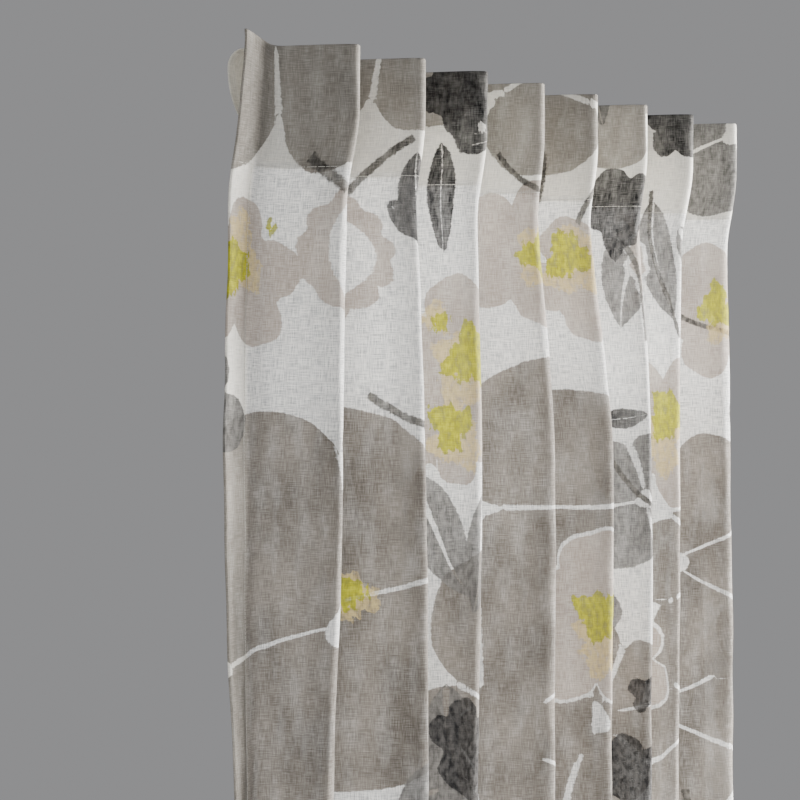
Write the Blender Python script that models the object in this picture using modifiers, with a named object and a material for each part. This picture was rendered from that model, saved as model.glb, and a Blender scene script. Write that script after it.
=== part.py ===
"""A printed linen curtain panel with back tabs, hung in soft folds for a 25 mm rod.

The rod's axis runs along X through the origin and isn't part of the panel.
The room is at -Y, the window wall at +Y, and +Z is up.
The cloth is one corrugated surface. Every sewn layer is a patch of that surface
set back from its front face, so hems, facing and tabs follow the folds.
"""
import math

import bmesh
import bpy
import numpy as np
from mathutils import Vector

# Driving dimensions, in metres
FLAT_WIDTH = 1.270          # finished width, laid flat
LENGTH = 2.134              # top edge to bottom edge
HEADING = 0.0068            # how far the top edge stands above the rod
ROD_RADIUS = 0.0127
ROD_CLEARANCE = 0.0007
TAB_COUNT = 9
TAB_PITCH = 0.0920          # from tab to tab along the rod, as hung
TAB_WIDTH = 0.038
TAB_RISE = 0.012            # a tab's foot stops this far above the facing's lower edge
TAB_LAP = 0.011             # how much of a tab's foot lies on the facing
TAB_HEAD_DROP = 0.0011      # from the panel's top edge down to a tab's top end
TOP_LAP_RISE = 0.0022       # a tab's sewn top end stops this far above the rod
TACK_INSET = 0.002          # from a tab's side to the sewing across its end
OVER_ROD = (97, 73, 49, 25, 0)      # where a tab bends over the rod, in degrees from the back
END_MARGIN = 0.021          # from the end tab's side to the panel's side edge
END_SWING = 0.010           # how far that side edge swings into the room
HEADER_DEPTH = 0.100
SIDE_HEM = 0.027
BOTTOM_HEM = 0.102
CLOTH = 0.0006              # one layer of linen
DOUBLE = 0.0012             # a hem turned twice
THREAD = 0.0006
GAP = 0.0003                # between layers that touch
STITCH_INSET = 0.002        # from a hem's sewn edge to its stitch line
SWING_START = 0.030         # below the rod's axis, where the cloth starts to fall in
SWING_END = 0.110           # where it hangs plumb
PLUMB_BACK = 0.011          # how far it falls back under the rod
LABEL_SIZE = (0.030, 0.045)
LABEL_RISE = 0.260          # label's lower edge above the bottom edge
FOLD_SHARPNESS = 1.5        # 1 is a cosine wave, more is flatter at the tabs
COLUMNS_PER_TAB = 4         # grid lines of the cloth: across a tab, across the fold between
COLUMNS_PER_FOLD = 8        # two tabs, and from the last tab's edge to the side edge
COLUMNS_PER_END = 2
CLOSEST_LINES = 0.002       # grid lines nearer than this to a layer's edge are left out

# Worked out from the driving dimensions
TOP = ROD_RADIUS + HEADING
BOTTOM = TOP - LENGTH
FIRST_TAB = -TAB_PITCH * (TAB_COUNT - 1) / 2
LAST_TAB = -FIRST_TAB
END_REACH = TAB_WIDTH / 2 + END_MARGIN
LEFT = FIRST_TAB - END_REACH
RIGHT = LAST_TAB + END_REACH
FACE_BACK = CLOTH
SIDE_HEM_FRONT = FACE_BACK + GAP
FACING_FRONT = SIDE_HEM_FRONT + DOUBLE + GAP
FACING_BACK = FACING_FRONT + DOUBLE
LAP_FRONT = FACING_BACK + GAP
CLOTH_STACK = LAP_FRONT + CLOTH
VALLEY = -(ROD_RADIUS + ROD_CLEARANCE + FACING_BACK)
LAP_FOOT = TOP - HEADER_DEPTH + TAB_RISE
LAP_HEAD = LAP_FOOT + TAB_LAP

collection = bpy.data.collections.new("curtain_panel")


def wave(along, depth):
    """How far the cloth stands into the room at each place along the rod."""
    along = np.asarray(along, dtype=float)
    phase = (along - FIRST_TAB) / TAB_PITCH
    fold = depth * np.abs(np.sin(math.pi * phase)) ** (2 * FOLD_SHARPNESS)
    beyond = np.maximum(np.maximum(FIRST_TAB - along, along - LAST_TAB), 0)
    end = END_SWING * (beyond / END_REACH) ** 2
    return np.where(beyond > 0, end, fold)


def flat_length(depth):
    """Cloth used from the left edge up to each sample, and the samples themselves."""
    along = np.linspace(LEFT, RIGHT, 4001)
    steps = np.hypot(np.diff(along), np.diff(wave(along, depth)))
    return along, np.concatenate(([0], np.cumsum(steps)))


def solve_fold_depth():
    """The fold depth that takes up the panel's whole flat width."""
    low, high = 0.0, 0.5
    for _ in range(50):
        middle = (low + high) / 2
        if flat_length(middle)[1][-1] < FLAT_WIDTH:
            low = middle
        else:
            high = middle
    return middle


FOLD_DEPTH = solve_fold_depth()
SAMPLES, FLAT = flat_length(FOLD_DEPTH)


def along_at(flat):
    """Place along the rod of a point that lies this far from the left edge on the flat cloth."""
    return float(np.interp(flat, FLAT, SAMPLES))


def plumb(z):
    """How far the cloth has fallen back under the rod at this height."""
    share = min(max((-z - SWING_START) / (SWING_END - SWING_START), 0), 1)
    return PLUMB_BACK * share * share * (3 - 2 * share)


def surface(x, z, inset=0.0):
    """A point of the hung cloth, inset from its front face towards the wall."""
    step = 1e-5
    y = VALLEY - float(wave(x, FOLD_DEPTH)) + plumb(z)
    slope_x = (float(wave(x - step, FOLD_DEPTH)) - float(wave(x + step, FOLD_DEPTH))) / (2 * step)
    slope_z = (plumb(z + step) - plumb(z - step)) / (2 * step)
    normal = Vector((-slope_x, 1, -slope_z)).normalized()
    return Vector((x, y, z)) + normal * inset


def tab_middle(number):
    """Place along the rod of a tab's middle, counted from 1 at the left."""
    return FIRST_TAB + (number - 1) * TAB_PITCH


def columns(left=LEFT, right=RIGHT):
    """Places along the rod for the grid lines, so that every layer bends on the same lines."""
    half = TAB_WIDTH / 2
    every = [*np.linspace(LEFT, FIRST_TAB - half, COLUMNS_PER_END + 1)]
    for number in range(1, TAB_COUNT + 1):
        middle = tab_middle(number)
        every += [*np.linspace(middle - half, middle + half, COLUMNS_PER_TAB + 1)[1:]]
        if number < TAB_COUNT:
            fold = np.linspace(middle + half, middle + TAB_PITCH - half, COLUMNS_PER_FOLD + 1)
            every += [*fold[1:]]
    every += [*np.linspace(LAST_TAB + half, RIGHT, COLUMNS_PER_END + 1)[1:]]
    inside = [float(x) for x in every if left + CLOSEST_LINES / 2 < x < right - CLOSEST_LINES / 2]
    return [left, *inside, right]


def material(name, colour, roughness):
    result = bpy.data.materials.new(name)
    result.use_nodes = True
    shader = result.node_tree.nodes["Principled BSDF"]
    shader.inputs["Base Color"].default_value = (*colour, 1)
    shader.inputs["Roughness"].default_value = roughness
    shader.inputs["Metallic"].default_value = 0
    return result


LINEN = material("printed_linen", (0.72, 0.70, 0.66), 0.90)
TAB_LINEN = material("tab_linen", (0.66, 0.63, 0.58), 0.90)
COTTON = material("sewing_thread", (0.80, 0.78, 0.74), 0.70)
SATIN = material("label_tape", (0.92, 0.92, 0.90), 0.60)


def link(piece, finish):
    piece.data.materials.append(finish)
    collection.objects.link(piece)
    return piece


def sheet(name, finish, thickness, rows, row_length, point):
    """A layer of cloth: a grid whose corners point(row, column) places, given its thickness."""
    mesh = bpy.data.meshes.new(name)
    grid = bmesh.new()
    bmesh.ops.create_grid(grid, x_segments=row_length - 1, y_segments=rows - 1, size=0.5)
    for vertex in grid.verts:
        column = round((vertex.co.x + 0.5) * (row_length - 1))
        row = round((0.5 - vertex.co.y) * (rows - 1))
        vertex.co = point(row, column)
    bmesh.ops.recalc_face_normals(grid, faces=grid.faces)
    if sum(face.normal.y * face.calc_area() for face in grid.faces) > 0:
        bmesh.ops.reverse_faces(grid, faces=grid.faces)
    grid.to_mesh(mesh)
    grid.free()
    piece = link(bpy.data.objects.new(name, mesh), finish)
    wall = piece.modifiers.new("cloth", "SOLIDIFY")
    wall.thickness = thickness
    wall.offset = -1
    return piece


def patch(name, finish, inset, thickness, xs, zs):
    """A layer of cloth that follows the hung surface."""
    return sheet(name, finish, thickness, len(zs), len(xs),
                 lambda row, column: surface(xs[column], zs[row], inset))


def stitch(name, points):
    """One continuous run of sewing thread."""
    curve = bpy.data.curves.new(name, "CURVE")
    curve.dimensions = "3D"
    curve.bevel_depth = THREAD / 2
    curve.bevel_resolution = 1
    curve.use_fill_caps = True
    run = curve.splines.new("POLY")
    run.points.add(len(points) - 1)
    for spot, place in zip(run.points, points):
        spot.co = (*place, 1)
    return link(bpy.data.objects.new(name, curve), COTTON)


def clear_scene():
    for item in list(bpy.data.objects):
        bpy.data.objects.remove(item)
    bpy.context.scene.collection.children.link(collection)


def fall(start, end):
    """Heights of the grid lines: close where the cloth swings under the rod, wide below."""
    lap = (LAP_HEAD, LAP_FOOT)
    swing = [z for z in np.linspace(-SWING_START, -SWING_END, 5) if abs(z - sum(lap) / 2) > TAB_LAP]
    lower = np.linspace(-SWING_END, BOTTOM, 6)[1:]
    every = sorted([*swing, *lap, *lower], reverse=True)
    inside = [float(z) for z in every if end + CLOSEST_LINES < z < start - CLOSEST_LINES]
    return [start, *inside, end]


def make_face():
    patch("face_panel", LINEN, 0, CLOTH, columns(), fall(TOP, BOTTOM))


def make_facing():
    """The folded strip behind the heading that the tabs are sewn to."""
    foot = TOP - HEADER_DEPTH
    patch("header_facing", LINEN, FACING_FRONT, DOUBLE, columns(), fall(TOP, foot))
    line = foot + STITCH_INSET
    points = [surface(x, line, -GAP - THREAD / 2) for x in columns()]
    stitch("header_stitch", points)


def make_bottom_hem():
    head = BOTTOM + BOTTOM_HEM
    patch("bottom_hem", LINEN, FACING_FRONT, DOUBLE, columns(), [head, BOTTOM])
    points = [surface(x, head - STITCH_INSET, -GAP - THREAD / 2) for x in columns()]
    stitch("bottom_stitch", points)


def make_side_hems():
    """Twice-turned hems down both side edges, each with its own line of stitching."""
    for side, edge, turn in (("left", 0, 1), ("right", FLAT_WIDTH, -1)):
        inner = along_at(edge + turn * SIDE_HEM)
        line = along_at(edge + turn * (SIDE_HEM - STITCH_INSET))
        outer = along_at(edge)
        xs = columns(min(inner, outer), max(inner, outer))
        patch(f"side_hem_{side}", LINEN, SIDE_HEM_FRONT, DOUBLE, xs, fall(TOP, BOTTOM))
        heights = fall(TOP - HEADER_DEPTH - THREAD, BOTTOM + BOTTOM_HEM + THREAD)
        stitch(f"side_stitch_{side}", [surface(line, z, -GAP - THREAD / 2) for z in heights])


def tab_route(x):
    """One line down a tab's inner side: sewn lap, over the rod, down behind it, foot lap."""
    radius = ROD_RADIUS + ROD_CLEARANCE
    route = [surface(x, z, LAP_FRONT) for z in (TOP - TAB_HEAD_DROP, ROD_RADIUS + TOP_LAP_RISE)]
    for degrees in OVER_ROD:
        angle = math.radians(degrees)
        route.append(Vector((x, radius * math.cos(angle), radius * math.sin(angle))))
    leaving = route[-1]
    landing = surface(x, LAP_HEAD, LAP_FRONT)
    for share in (1 / 3, 2 / 3):
        between = leaving.lerp(landing, share)
        between.y = leaving.y + (landing.y - leaving.y) * share * share
        route.append(between)
    return [*route, landing, surface(x, LAP_FOOT, LAP_FRONT)]


def make_tab(number):
    """A loop of linen behind the heading that the rod passes through, tacked at both ends."""
    middle = tab_middle(number)
    xs = columns(middle - TAB_WIDTH / 2, middle + TAB_WIDTH / 2)
    routes = [tab_route(x) for x in xs]
    sheet(f"back_tab_{number}", TAB_LINEN, CLOTH, len(routes[0]), len(xs),
          lambda row, column: routes[column][row])
    reach = TAB_WIDTH / 2 - TACK_INSET
    run = columns(middle - reach, middle + reach)
    over_tab = CLOTH_STACK + GAP + THREAD / 2
    top_line = (TOP + ROD_RADIUS + TOP_LAP_RISE) / 2
    foot_line = (LAP_HEAD + LAP_FOOT) / 2
    stitch(f"tab_top_tack_{number}", [surface(x, top_line, over_tab) for x in run])
    stitch(f"tab_foot_tack_{number}", [surface(x, foot_line, over_tab) for x in run])


def make_label():
    """A blank care label sewn behind the left side hem."""
    width, height = LABEL_SIZE
    start = SIDE_HEM - STITCH_INSET - width / 2
    xs = [along_at(start), along_at(start + width / 2), along_at(start + width)]
    low = BOTTOM + LABEL_RISE
    inset = SIDE_HEM_FRONT + DOUBLE + GAP
    patch("care_label", SATIN, inset, CLOTH, xs, [low + height, low])


clear_scene()
make_face()
make_facing()
make_bottom_hem()
make_side_hems()
for tab in range(1, TAB_COUNT + 1):
    make_tab(tab)
make_label()
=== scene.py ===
"""A printed linen curtain panel with back tabs, hung in soft folds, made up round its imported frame.

Cloth positions are written as (flat, drop): metres from the left edge of the flat panel, and
metres below its top edge. The rod's axis is the X axis, the room is at -Y and +Z is up.
"""
import math

import bpy
import numpy as np
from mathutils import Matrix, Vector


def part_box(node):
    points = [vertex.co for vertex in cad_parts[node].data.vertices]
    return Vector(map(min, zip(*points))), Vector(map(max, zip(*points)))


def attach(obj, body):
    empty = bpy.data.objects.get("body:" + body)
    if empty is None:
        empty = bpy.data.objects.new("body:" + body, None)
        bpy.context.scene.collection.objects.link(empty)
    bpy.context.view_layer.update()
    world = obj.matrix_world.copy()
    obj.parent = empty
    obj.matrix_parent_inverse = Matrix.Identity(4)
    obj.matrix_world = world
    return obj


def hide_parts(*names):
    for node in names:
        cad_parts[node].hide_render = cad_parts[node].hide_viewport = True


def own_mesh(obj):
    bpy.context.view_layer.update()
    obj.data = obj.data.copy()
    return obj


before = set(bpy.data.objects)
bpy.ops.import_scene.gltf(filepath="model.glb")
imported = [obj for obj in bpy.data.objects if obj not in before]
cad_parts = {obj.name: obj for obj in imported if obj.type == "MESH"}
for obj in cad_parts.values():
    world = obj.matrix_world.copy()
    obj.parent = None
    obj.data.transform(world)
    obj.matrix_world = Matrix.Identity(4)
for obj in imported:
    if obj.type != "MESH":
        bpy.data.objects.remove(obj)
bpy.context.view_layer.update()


# ---- Face panel -----------------------------------------------------------------------------
# One width of sheer slubbed linen, cut 1.27 m wide and hung in eight folds between nine tabs.
# Its top and side edges turn over a small roll of cloth, and the floral print runs through it.

FLAT_WIDTH = 1.270
SPARE_CLOTH = 1.5               # wave exponent: flatter at the tabs and fuller at the crests
FALL_BACK = 0.011               # how far the cloth falls back under the rod below the heading
VALLEY = -0.0165                # the face of the cloth in front of the rod
END_SWING = 0.0045              # the side edges swing this far into the room
EDGE_ROLL = 0.0011              # radius of the turned top and side edges
RETURN_LAP = 0.003              # how much of the turned edge lies on the back
CORNER_REACH = 0.055            # the top left corner lifts and swings out over this width
CORNER_LIFT, CORNER_SWING, CORNER_SHIFT = 0.0058, 0.0045, 0.002
TAB_DIP, TAB_DIP_WIDTH = 0.0016, 0.013      # how the top edge dips where a tab pulls on it
RIDGE_WIDTH = 0.0075            # half the width of a narrow drag ridge
PUCKER, PUCKER_PITCH = 0.0003, 0.0085       # the fine gathers along the heading's stitching

face_low, face_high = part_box("face_panel")
TOP_EDGE = face_high.z
LENGTH = face_high.z - face_low.z
LEFT_EDGE = face_low.x
RIGHT_EDGE = face_high.x
TABS = sum(1 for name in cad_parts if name.startswith("back_tab_"))
tab_boxes = [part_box(f"back_tab_{number}") for number in range(1, TABS + 1)]
TAB_MIDDLES = np.array([(low.x + high.x) / 2 for low, high in tab_boxes])
FIRST_TAB, LAST_TAB = TAB_MIDDLES[0], TAB_MIDDLES[-1]
TAB_PITCH = (LAST_TAB - FIRST_TAB) / (TABS - 1)
FOLD_MIDDLES = np.concatenate(([LEFT_EDGE], TAB_MIDDLES[:-1] + TAB_PITCH / 2, [RIGHT_EDGE]))

# How each fold wanders as it hangs, from the left edge to the right: along the rod below the
# heading and again further down, in metres, and in depth, as a share of the fold's own.
FOLD_DRIFT = (-0.009, -0.006, 0.012, 0.006, 0.021, 0.025, 0.013, -0.002, 0.006, 0.003)
FOLD_SWAY = (0.014, -0.016, 0.001, -0.008, -0.004, -0.002, 0.005, -0.006, 0.004, 0.000)
FOLD_DEEPEN = (0.0, -0.10, 0.12, 0.02, 0.10, 0.12, 0.08, -0.06, 0.05, 0.0)
# Narrow ridges where the cloth drags: place across the flat cloth, lean, top, foot and height.
DRAG_FOLDS = [
    (0.104, 0.030, 0.10, 0.52, 0.0040), (0.046, 0.035, 0.30, 0.95, 0.0028),
    (0.236, 0.020, 0.12, 0.60, 0.0032), (0.400, -0.020, 0.30, 1.00, 0.0034),
    (0.548, 0.025, 0.10, 0.45, 0.0036), (0.694, -0.025, 0.25, 0.90, 0.0032),
    (0.846, 0.020, 0.10, 0.60, 0.0036), (0.990, -0.020, 0.15, 0.80, 0.0034),
    (1.140, 0.020, 0.12, 0.70, 0.0036), (0.160, -0.030, 0.60, 1.50, 0.0034),
    (0.470, 0.030, 0.90, 1.90, 0.0034), (0.780, -0.020, 0.80, 1.80, 0.0030),
    (1.060, 0.030, 0.90, 1.95, 0.0034), (1.215, -0.020, 0.50, 1.60, 0.0030),
]
# Unevenness of the cloth: heights in metres, paces across and down per metre, and seeds.
CRUMPLES = ((0.0016, 120, 14, 3), (0.0008, 400, 55, 5))     # all over
DRAG_LINES = ((0.0016, 300, 18, 8),)                        # just below the heading
FLOWS = ((0.0045, 16, 5, 11), (0.0022, 30, 17, 12))         # slow drift of the hanging folds


def ease(start, end, value):
    """Smooth step from 0 at start to 1 at end."""
    share = np.clip((value - start) / (end - start), 0, 1)
    return share * share * (3 - 2 * share)


def stand_out(along, depth, exponent=SPARE_CLOTH):
    """How far the cloth stands into the room: |sin| to a power between tabs, then a parabola."""
    fold = depth * np.abs(np.sin(math.pi * (along - FIRST_TAB) / TAB_PITCH)) ** (2 * exponent)
    past = np.maximum(np.maximum(FIRST_TAB - along, along - LAST_TAB), 0)
    reach = FIRST_TAB - LEFT_EDGE
    return np.where(past > 0, END_SWING * (past / reach) ** 2, fold)


def arc_lengths(depth):
    """Cloth used up to each sample along the rod, as the running sum of short chords."""
    chords = np.hypot(np.diff(ROD_SAMPLES), np.diff(stand_out(ROD_SAMPLES, depth)))
    return np.concatenate(([0], np.cumsum(chords)))


ROD_SAMPLES = np.linspace(LEFT_EDGE, RIGHT_EDGE, 6001)
shallow, deep = 0.0, 0.3
for _ in range(40):
    FOLD_DEPTH = (shallow + deep) / 2
    if arc_lengths(FOLD_DEPTH)[-1] < FLAT_WIDTH:
        shallow = FOLD_DEPTH
    else:
        deep = FOLD_DEPTH
CLOTH_USED = arc_lengths(FOLD_DEPTH)


def ripple(across, down, seed, waves=7):
    """Gentle unevenness from -1 to 1: a sum of seeded sines in random directions and phases."""
    dice = np.random.default_rng(seed)
    total = 0
    for _ in range(waves):
        angle, phase, pace = dice.uniform(0, 2 * math.pi, 3)
        step = 0.6 + pace / 4
        total = total + np.sin(step * (across * math.cos(angle) + down * math.sin(angle)) + phase)
    return total / waves


def uneven(across, down, layers):
    """Several ripples added up, each with its own height and paces."""
    return sum(height * ripple(across * wide, down * tall, seed) for height, wide, tall, seed in layers)


def hang(flat, drop):
    """Place of the cloth's face: the fold wave along the rod, with seeded ripples, ridges that
    drag below the tabs, slack sides and a lifted corner, falling back under the rod as it drops."""
    along = np.interp(flat, CLOTH_USED, ROD_SAMPLES)
    wander = ease(0.05, 0.36, drop) * (1 + 0.35 * np.sin(2.2 * drop + 9 * along))
    depth = FOLD_DEPTH * (1 + np.interp(along, FOLD_MIDDLES, FOLD_DEEPEN) * wander)
    exponent = SPARE_CLOTH - 0.35 * ease(0.1, 0.9, drop)
    out = stand_out(along, depth, exponent)
    below = ease(0.05, 0.13, drop)
    heading = 1 - ease(0.03, 0.11, drop)
    nearest_tab = FIRST_TAB + np.round((along - FIRST_TAB) / TAB_PITCH) * TAB_PITCH
    near_tab = np.exp(-((along - nearest_tab) / TAB_DIP_WIDTH) ** 2)
    crumple = uneven(flat, drop, CRUMPLES) * (1 - 0.35 * heading)
    drag = uneven(flat, drop, DRAG_LINES) * np.exp(-((drop - 0.13) / 0.07) ** 2)
    pinch = 0
    for start, lean, top, foot, height in DRAG_FOLDS:
        ridge = np.exp(-((flat - start - lean * (drop - top)) / RIDGE_WIDTH) ** 2)
        pinch = pinch + height * ridge * ease(top, top + 0.12, drop) * ease(foot, foot - 0.20, drop)
    near_side = np.exp(-np.minimum(flat, FLAT_WIDTH - flat) / 0.03) * ease(0.05, 0.2, drop)
    slack = 0.0022 * np.sin(drop * 31 + 1.1 * np.sin(drop * 9)) * near_side
    near_seam = np.exp(-((drop - 0.099) / 0.007) ** 2)
    pucker = PUCKER * np.sin(flat * 2 * math.pi / PUCKER_PITCH) * near_seam
    flow = uneven(along, drop, FLOWS) * below
    sway = ease(0.30, 0.68, drop) * (1 - 0.6 * ease(1.0, 1.9, drop))
    corner = np.clip(1 - flat / CORNER_REACH, 0, 1) ** 1.4 * ease(0.07, 0.0, drop)
    x = along + np.interp(along, FOLD_MIDDLES, FOLD_DRIFT) * wander + 0.8 * flow + slack
    x = x + np.interp(along, FOLD_MIDDLES, FOLD_SWAY) * sway + CORNER_SHIFT * corner
    y = VALLEY - out + FALL_BACK * below + crumple + drag + pucker
    y = y + slack - pinch - CORNER_SWING * corner
    z = TOP_EDGE - EDGE_ROLL - drop + CORNER_LIFT * corner
    z = z - TAB_DIP * near_tab * ease(0.05, 0.0, drop)
    return np.stack([x, y, z], -1)


def set_back(flat, drop, inset):
    """Place of a layer: the face moved by inset along its normal, from differences of hang()."""
    step = 2e-4
    across = hang(flat + step, drop) - hang(flat - step, drop)
    down = hang(flat, drop + step) - hang(flat, drop - step)
    normal = np.cross(across, down)
    normal /= np.linalg.norm(normal, axis=-1, keepdims=True)
    return hang(flat, drop) + normal * np.asarray(inset)[..., None], normal


def grid_faces(rows, columns, start=0, flip=False):
    """Corner numbers of a grid's squares, wound so that they face the room unless flipped."""
    corner = start + np.arange(rows - 1)[:, None] * columns + np.arange(columns - 1)
    squares = np.stack([corner, corner + columns, corner + columns + 1, corner + 1], -1).reshape(-1, 4)
    return squares[:, ::-1] if flip else squares


def rim_faces(rows, columns):
    """Squares that close the gap between a front grid and the back grid numbered after it."""
    count = rows * columns
    top = np.arange(columns)
    right = np.arange(rows) * columns + columns - 1
    bottom = np.arange(columns)[::-1] + (rows - 1) * columns
    left = np.arange(rows)[::-1] * columns
    loop = np.concatenate([top[:-1], right[:-1], bottom[:-1], left[:-1]])
    after = np.roll(loop, -1)
    return np.stack([loop, after, after + count, loop + count], -1)


def make_piece(name, points, squares, facts, material):
    """A mesh from points and squares, with each named value stored on its points."""
    mesh = bpy.data.meshes.new(name)
    mesh.vertices.add(len(points))
    mesh.vertices.foreach_set("co", points.astype(np.float32).ravel())
    mesh.loops.add(squares.size)
    mesh.loops.foreach_set("vertex_index", squares.astype(np.int32).ravel())
    mesh.polygons.add(len(squares))
    mesh.polygons.foreach_set("loop_start", np.arange(0, squares.size, 4, dtype=np.int32))
    for fact, values in facts.items():
        if fact == "cloth":
            layer = mesh.uv_layers.new(name="cloth")
            layer.data.foreach_set("uv", values[squares.ravel()].astype(np.float32).ravel())
        else:
            layer = mesh.attributes.new(fact, "FLOAT", "POINT")
            layer.data.foreach_set("value", values.astype(np.float32).ravel())
    mesh.update(calc_edges=True)
    mesh.validate()
    mesh.shade_smooth()
    mesh.materials.append(material)
    piece = bpy.data.objects.new(name, mesh)
    bpy.context.scene.collection.objects.link(piece)
    return piece


# The print repeats down the cloth and steps sideways at each repeat. Motifs are drawn as fields:
# metres inside a motif's edge, negative outside, so that the dye can bleed a little at its edge.
# A second field crosses 0 along the motif's own line: a vein, a midrib or a stalk.
REPEAT_WIDTH, REPEAT_DROP, REPEAT_STEP = 1.28, 0.645, 0.45
NO_LINE = 0.012                 # a field's limit, and its value where a motif has no line


def from_motif(flat, drop, place):
    """Offsets from the nearest repeat of a motif placed at (flat, drop)."""
    repeat = np.round((drop - place[1]) / REPEAT_DROP)
    across = flat - place[0] - REPEAT_STEP * repeat
    across = (across + REPEAT_WIDTH / 2) % REPEAT_WIDTH - REPEAT_WIDTH / 2
    return across, drop - place[1] - REPEAT_DROP * repeat


def bloom(across, down, radius, petals, turn):
    """Big open flower: petals r = R(0.6 + 0.4|cos|^0.45), a pale heart, veins where cos is 0."""
    reach = np.hypot(across, down)
    angle = np.arctan2(down, across) - turn
    angle = angle + 0.10 * np.sin(2 * angle + 3 * turn) + 0.11 * reach / radius
    swing = np.cos(petals * angle / 2)
    edge = radius * (0.60 + 0.40 * np.abs(swing) ** 0.45) * (1 + 0.08 * np.sin(3 * angle + 5 * turn))
    edge = edge - 0.02 * radius * np.abs(np.sin(petals * 1.5 * angle + turn))
    heart = radius * (0.13 + 0.03 * np.cos(3 * angle))
    vein = reach * swing * 2 / petals / (0.3 + 1.2 * reach / radius)
    return np.minimum(edge - reach, reach - heart), vein


def blossom(across, down, radius, turn):
    """Small flower: five petals r = R(0.56 + 0.44|cos|^0.55), notched between, slightly ragged."""
    reach = np.hypot(across, down * 1.05)
    angle = np.arctan2(down, across) - turn
    petal = np.abs(np.cos(2.5 * angle + 0.30 * np.sin(angle)))
    edge = radius * (0.56 + 0.44 * petal ** 0.55) * (1 + 0.07 * np.sin(2 * angle + turn))
    return edge * (1 + 0.02 * np.cos(13 * angle)) - reach, reach * 0 + NO_LINE


def heart_of(across, down, radius, turn):
    """Flower's stamens: a ragged blot with lobes of two sizes."""
    reach = np.hypot(across * 1.15, down)
    angle = np.arctan2(down, across) - turn
    lobes = 0.22 * np.cos(3 * angle + 1) + 0.13 * np.cos(7 * angle) + 0.05 * np.cos(16 * angle)
    return radius * (1 + lobes) - reach, reach * 0 + NO_LINE


def wreath(across, down, wide, tall, turn):
    """Ring of scallops: inside a scalloped ellipse and outside a smaller, plainer one."""
    reach = np.hypot(across / wide, down / tall)
    angle = np.arctan2(down / tall, across / wide) - turn
    outer = 1 - 0.11 * (1 - np.abs(np.cos(7.5 * angle)) ** 0.7)
    inner = 0.74 + 0.05 * np.cos(3 * angle + 1)
    return np.minimum(outer - reach, reach - inner) * min(wide, tall), reach * 0 + NO_LINE


def leaf(across, down, length, width, turn, bend):
    """Leaf from its stalk at the origin: half width W sin(pi u)^0.8 about a bent midrib."""
    along = (across * math.cos(turn) + down * math.sin(turn)) / length
    side = -across * math.sin(turn) + down * math.cos(turn)
    inside = np.clip(along, 0, 1)
    side = side - bend * length * inside * (1 - inside)
    half = width / 2 * np.sin(math.pi * inside ** 0.85) ** 0.8
    past = np.maximum(np.abs(along - 0.5) - 0.5, 0) * length
    return half - np.abs(side) - past, side / (1.15 - inside)


def berries(across, down, spread, size, count, seed):
    """Cluster of round berries, spaced by the golden angle from the middle outwards."""
    field = np.full(across.shape, -1.0)
    for number in range(count):
        angle = 2.4 * number + seed
        away = spread * math.sqrt(number / count)
        spot = np.hypot(across - away * math.cos(angle), down - away * math.sin(angle))
        field = np.maximum(field, size * (0.85 + 0.3 * ((number * 7 + seed) % 3) / 2) - spot)
    return field, field * 0 + NO_LINE


def stem(across, down, reach_across, reach_down, width, bow):
    """Curved stalk: a field for its length, and the signed distance to its parabola for its line."""
    length = math.hypot(reach_across, reach_down)
    turn = math.atan2(reach_down, reach_across)
    along = (across * math.cos(turn) + down * math.sin(turn)) / length
    side = -across * math.sin(turn) + down * math.cos(turn)
    inside = np.clip(along, 0, 1)
    side = side - bow * length * inside * (1 - inside) * 4
    past = (0.5 - np.abs(along - 0.5)) * length
    return np.minimum(past, NO_LINE - np.abs(side)), side / (width / 2)


# Where the motifs lie in one repeat: the place first, then each drawing's own values.
TAUPE_BLOOMS = [
    ((0.048, -0.055), 0.185, 6, 0.06), ((0.242, -0.050), 0.125, 6, 0.30),
    ((0.612, -0.035), 0.135, 6, 0.10), ((0.860, -0.028), 0.098, 4, 0.80),
    ((0.138, 0.470), 0.210, 4, 0.66), ((0.612, 0.388), 0.150, 4, 0.95),
    ((0.575, 0.640), 0.110, 6, 1.05), ((0.800, 0.600), 0.105, 6, 0.35),
    ((1.085, 0.455), 0.150, 6, 0.15),
]
GREY_BLOOMS = [
    ((0.850, 0.385), 0.074, 4, 0.60), ((0.762, 0.490), 0.060, 4, 0.30),
    ((1.150, 0.010), 0.090, 4, 0.40), ((1.225, 0.300), 0.078, 6, 0.20),
]
BLUSH_FLOWERS = [
    ((0.012, 0.186), 0.068, -0.15), ((0.396, 0.246), 0.068, 0.8), ((0.384, 0.316), 0.050, 0.3),
    ((0.548, 0.152), 0.070, 1.3), ((0.700, 0.172), 0.060, 0.5), ((0.692, 0.500), 0.086, 1.0),
    ((0.988, 0.318), 0.084, 0.1), ((1.140, 0.195), 0.070, 0.7), ((0.930, 0.560), 0.062, 0.4),
]
BLUSH_WREATHS = [((0.160, 0.166), 0.086, 0.062, 0.3), ((0.905, 0.150), 0.062, 0.052, 0.9)]
CITRON_HEARTS = [
    ((0.006, 0.182), 0.023, 0.3), ((0.404, 0.250), 0.026, 1.0), ((0.384, 0.310), 0.021, 2.0),
    ((0.560, 0.156), 0.019, 1.4), ((0.684, 0.150), 0.021, 0.6), ((0.696, 0.492), 0.023, 1.9),
    ((0.992, 0.305), 0.024, 0.4), ((1.142, 0.190), 0.021, 1.0), ((0.206, 0.452), 0.014, 0.2),
    ((0.930, 0.556), 0.017, 0.9), ((0.052, 0.148), 0.0055, 0.9), ((0.376, 0.218), 0.009, 0.1),
]
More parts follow.
